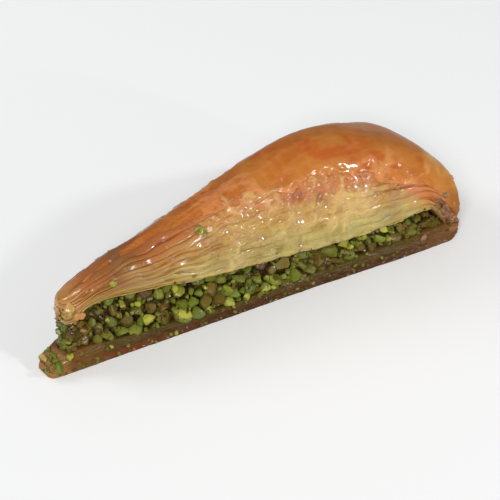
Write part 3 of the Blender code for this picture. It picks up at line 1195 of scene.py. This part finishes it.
def flake(form, layers, draw, centre, normal, size, values, lift=0.3, thickness=LEAF, narrow=0.5):
    """A torn leaf about size across that lies on the surface and lifts at one edge."""
    first = Matrix.Rotation(draw.uniform(0, 2 * math.pi), 3, normal) @ normal.orthogonal().normalized()
    second = normal.cross(first)
    seed, stretch = draw.uniform(0, 90), draw.uniform(narrow, 0.9)

    def place(along, across):
        u, v = along * 2 - 1, across * 2 - 1
        angle, out = math.atan2(v, u), max(abs(u), abs(v))
        rim = Vector((math.cos(angle) * 1.3, math.sin(angle) * 1.3, seed))
        uneven = 0.78 + 0.40 * noise.noise(rim) + 0.15 * noise.noise(rim * 2.7)
        spot = first * math.cos(angle) + second * math.sin(angle) * stretch
        rise = 0.03 + lift * max(u, 0) ** 2 + 0.10 * noise.noise(Vector((u * 1.5, v * 1.5, seed + 5)))
        return centre + (spot * out * uneven * 0.5 + normal * rise) * size

    leaf(form, layers, 5, 5, place, lambda along, across: values, thickness)


def steep(draw, side):
    """A direction into one cut, a little off level at random."""
    return draw.uniform(-0.3, 0.3), -side, draw.uniform(-0.35, 0.15)


print("surfaces ready:", len(surfaces))

# %% Pastry flakes
flakes = Heap()
draw = random.Random(31)


# A flake's tone is the sheet finish's wrinkle value: above 0.1 it lightens the flake with the painted crest highlight
# colour.
def lay_flake(start, way, size, bake, tone, lift=0.3, along=0.10, thickness=LEAF):
    place, normal = surface_at(start, way)
    if place:
        values = {"along": along, "rise": 0.1 if along > 0.88 else 0.6, "sheet": draw.uniform(0, 9),
                  "gap": 0.0, "tone": tone, "bake": bake}
        flake(*flakes.corner(), draw, place, normal, size * MM, values, lift, thickness)


for side in (-1, 1):
    for _ in range(3):
        start = (tip_x + draw.uniform(9.5, 12.0) * MM, side * 30 * MM, draw.uniform(17.5, 24) * MM)
        lay_flake(start, (draw.uniform(-0.1, 0.4), -side, 0), draw.uniform(4.0, 7.5), draw.uniform(0.5, 0.9),
                  draw.uniform(0.1, 0.5), draw.uniform(0.02, 0.10), 0.08, 0.3 * MM)
for _ in range(12):
    start = (tip_x - 10 * MM, draw.uniform(-4, 4) * MM, draw.uniform(19, 23) * MM)
    lay_flake(start, (1, draw.uniform(-0.25, 0.25), draw.uniform(-0.3, 0.0)), draw.uniform(2.5, 4.5),
              draw.uniform(0.3, 0.9), 0.1, 0.08)
for _ in range(24):
    side = draw.choice((-1, 1))
    s = draw.choice((draw.uniform(0.05, 0.40), draw.uniform(0.74, 0.85))) * length
    up = skin_share(s / length) - draw.uniform(0.02, 0.14)
    target = cut_point(s, side, max(up, 0.05))
    start = target + Vector((0, side * 12 * MM, 4 * MM))
    lay_flake(start, (0, -side, -1 / 3), draw.uniform(1.2, 2.6), draw.uniform(0.75, 1.0), 0.05,
              0.12, s / length)
for _ in range(12):
    start = (cad_high.x + 10 * MM, draw.uniform(-22, 22) * MM, draw.uniform(1, 27) * MM)
    way = (-1, draw.uniform(-0.2, 0.2), draw.uniform(-0.2, 0.1))
    lay_flake(start, way, draw.uniform(2.5, 5.5), draw.uniform(0.6, 0.9), 0.0, 0.06, draw.uniform(0.80, 0.86))
for _ in range(16):
    side = draw.choice((-1, 1))
    s, z = draw.uniform(0.890, 0.975) * length, draw.uniform(6, 16) * MM
    if s < 0.93 * length and z < 9 * MM:
        continue
    start = (tip_x + s, side * 60 * MM, z)
    lay_flake(start, (draw.uniform(-0.3, 0.1), -side, draw.uniform(-0.1, 0.1)), draw.uniform(2.0, 4.6),
              draw.uniform(0.6, 1.0), draw.uniform(0.0, 0.2), 0.08, draw.uniform(0.89, 0.97))
for _ in range(8):
    side = draw.choice((-1, 1))
    s = draw.uniform(0.02, 0.9) * length
    start = (tip_x + s, side * 40 * MM, draw.uniform(0.5, 1.6) * MM)
    lay_flake(start, (0, -side, 0), draw.uniform(1.2, 3.0), draw.uniform(0.3, 0.9), 0.2, 0.2, draw.uniform(0.14, 0.24))
for _ in range(10):
    start = (tip_x - 10 * MM, draw.uniform(-4.5, 4.5) * MM, draw.uniform(1.5, 5.0) * MM)
    lay_flake(start, (1, draw.uniform(-0.2, 0.2), draw.uniform(-0.1, 0.3)), draw.uniform(2.0, 4.0),
              draw.uniform(0.1, 0.9), draw.uniform(0.1, 0.5), 0.12)
pastry_flakes = finished("pastry_flakes", flakes.whole(), sheet_paint)

# %% Skins that came off the nuts
skins = Heap()
for number in range(90):
    side = -1 if number % 2 else 1
    near_tip = number < 44
    s = (draw.uniform(0.07, 0.20) if near_tip else draw.uniform(0.08, 0.88)) * length
    low, high = heap_edges(s)
    z = low + (high - low) * (draw.uniform(0.55, 0.98) if near_tip else draw.uniform(0.2, 0.95))
    place, normal = surface_at((tip_x + s, side * 40 * MM, z), steep(draw, side))
    if place and abs(place.y) < half_width(s, nut_start) - 1.5 * MM:
        # gap 0.6 gives these skins the nut finish's painted shade, as they lie back in the heap.
        values = {"tone": draw.uniform(0.0, 0.09), "bake": 1.0, "along": s / length, "rise": 0.0, "gap": 0.6}
        flake(*skins.corner(), draw, place, normal, draw.uniform(1.8, 4.0) * MM, values, 0.5, 0.15 * MM, 0.3)
nut_skins = finished("nut_skins", skins.whole(), nut_paint)

# %% Crumbs of ground pistachio
ground = Heap()


def lay_crumb(start, way, size, tone, pasty_share=0.0, shade=0.0):
    """Sets one crumb, size millimetres across, half into the surface that the line meets."""
    place, normal = surface_at(start, way)
    if place:
        centre = place + normal * size * 0.15 * MM
        centre.z = max(centre.z, 0.75 * size * MM)
        matrix = turned_at(draw, centre, size * MM)
        values = {"tone": tone, "rise": pasty_share, "gap": shade, "bake": 0.4}
        copy_into(*ground.corner(), draw.choice(crumbs), matrix, values)


for number in range(520):
    side = -1 if number % 2 else 1
    s = draw.uniform(nut_start, nut_stop + 4 * MM)
    low, high = heap_edges(s)
    z = draw.uniform(low - 0.3 * MM, high)
    browned = ease(0.80, 0.88, s / length)
    lay_crumb((tip_x + s, side * 40 * MM, z), steep(draw, side), draw.uniform(0.6, 1.9),
              draw.random() ** 1.5 * (1 - 0.9 * browned), 0.6 * pasty(s / length) + 0.2, draw.uniform(0.0, 0.6))
for _ in range(26):
    start = (tip_x - 12 * MM, draw.uniform(-6, 6) * MM, draw.uniform(2.0, 19.0) * MM)
    lay_crumb(start, (1, draw.uniform(-0.2, 0.2), -0.15), draw.uniform(1.2, 3.0), draw.random() * 0.7,
              draw.uniform(0.2, 1.0))
for _ in range(6):
    start = (tip_x + draw.uniform(0.5, 9) * MM, draw.uniform(-5, 5) * MM, 14 * MM)
    lay_crumb(start, (draw.uniform(-0.3, 0.3), 0, -1), draw.uniform(0.8, 2.2), draw.random(), draw.uniform(0, 0.9))
for number in range(60):
    side = -1 if number % 3 else 1
    s = (0.02 + 0.70 * draw.random() ** 1.4) * length
    start = (tip_x + s, side * 45 * MM, draw.uniform(0.2, 1.4) * MM)
    lay_crumb(start, (0, -side, 0), draw.uniform(0.5, 1.3), draw.uniform(0.1, 0.8), 0.3, 0.6)
for _ in range(5):
    start = (tip_x + draw.uniform(0.05, 0.97) * length, draw.uniform(-16, 16) * MM, 90 * MM)
    lay_crumb(start, (0, 0, -1), draw.uniform(0.3, 0.7), draw.uniform(0.3, 1.0))
print("crumbs laid")

# %% A few bits that catch the eye
for _ in range(7):
    lay_crumb((draw.uniform(-22.4, -19.8) * MM, draw.uniform(-9, -7) * MM, 90 * MM), (0, 0, -1),
              draw.uniform(1.1, 1.9), draw.uniform(0.6, 0.8))
for s, z, size, tone in ((26.1, 27.5, 2.4, 0.95), (10.6, 21.7, 2.2, 0.95), (7.8, 6.2, 2.6, 0.9),
                         (3.8, 3.0, 4.4, 0.5), (9.5, 20.0, 1.6, 0.95), (22.0, 4.6, 1.6, 0.95)):
    lay_crumb((tip_x + s * MM, -60 * MM, z * MM), (0, 1, 0), size, tone)
for z in (17.2, 16.0, 14.6, 9.0, 7.6):
    for _ in range(3):
        start = (tip_x - 12 * MM, draw.uniform(-3.5, 3.5) * MM, z * MM)
        lay_crumb(start, (1, 0, 0), draw.uniform(1.6, 3.2), draw.uniform(0.2, 0.7), 0.1, 0.3)
ground_pistachio = finished("ground_pistachio", ground.whole(), nut_paint, 50)

# %% [markdown]
# ## Floor, light and camera
#
# The slice stands on a plain pale floor. A wide soft light comes from above its near left, as from
# a window, and a pale sky fills the shadows. Wet pastry shows its syrup by what it mirrors, so
# three small lamps on the near side put sharp glints on it, and a wide one lights the far side.

# %% Lay the floor
def floor_finish():
    finish = Finish("pale_floor", Roughness=0.5)
    shade = finish.cloud(300, 2)
    return finish.paint(Base_Color=finish.mix(shade, colour(247, 247, 246), colour(252, 252, 251)))


floor_form = bmesh.new()
bmesh.ops.create_grid(floor_form, x_segments=2, y_segments=2, size=3)
floor_mesh = bpy.data.meshes.new("floor")
floor_form.to_mesh(floor_mesh)
floor_form.free()
floor_mesh.materials.append(floor_finish())
floor = bpy.data.objects.new("floor", floor_mesh)
floor.location.z = cad_low.z
bpy.context.scene.collection.objects.link(floor)
print("floor at height", round(floor.location.z, 4))

# %% Hang the lamps
aim = Vector((0, 0, 0.02))


def lamp(name, place, size, power, tint=(1, 1, 1)):
    light = bpy.data.lights.new(name, "AREA")
    light.shape, light.size, light.energy, light.color = "DISK", size, power, tint
    hung = bpy.data.objects.new(name, light)
    hung.location = place
    hung.rotation_mode = "QUATERNION"
    hung.rotation_quaternion = (aim - Vector(place)).to_track_quat("-Z", "Y")
    bpy.context.scene.collection.objects.link(hung)
    return hung


window = bpy.data.lights.new("soft_window", "SUN")
window.angle, window.energy = math.radians(26), 2.1
window_hung = bpy.data.objects.new("soft_window", window)
window_hung.rotation_mode = "QUATERNION"
window_hung.rotation_quaternion = Vector((0.42, 0.46, -0.44)).to_track_quat("-Z", "Y")
bpy.context.scene.collection.objects.link(window_hung)
lamp("near_lamp", (0.66, -1.16, 0.72), 0.12, 5.4)
lamp("far_lamp", (-0.60, 0.80, 0.70), 0.60, 3.6)
lamp("side_lamp", (-0.70, -0.95, 0.62), 0.08, 1.8)
lamp("low_lamp", (0.32, -1.24, 0.24), 0.07, 2.2)
sky = bpy.data.worlds.new("sky")
sky.use_nodes = True
sky.node_tree.nodes["Background"].inputs["Color"].default_value = (0.95, 0.97, 1.0, 1.0)
sky.node_tree.nodes["Background"].inputs["Strength"].default_value = 0.30
bpy.context.scene.world = sky
bpy.context.scene.view_settings.view_transform = "Standard"
print("lamps hung")

# %% Place the camera
LENS_ANGLE = math.radians(20)
azimuth, elevation, roll = math.radians(-31.85), math.radians(33), math.radians(-4.5)
target = Vector((-0.0031, -0.0092, 0.02))
back = Vector((math.sin(azimuth) * math.cos(elevation), -math.cos(azimuth) * math.cos(elevation),
               math.sin(elevation)))
lens = bpy.data.cameras.new("camera")
lens.sensor_width = 36
lens.lens = 18 / math.tan(LENS_ANGLE / 2)
camera = bpy.data.objects.new("camera", lens)
camera.location = target + back * 0.4785
camera.rotation_mode = "QUATERNION"
turned = Matrix.Rotation(roll, 3, "Z").to_quaternion()
camera.rotation_quaternion = (-back).to_track_quat("-Z", "Y") @ turned
bpy.context.scene.collection.objects.link(camera)
bpy.context.scene.camera = camera
print("lens in mm:", round(lens.lens, 1))
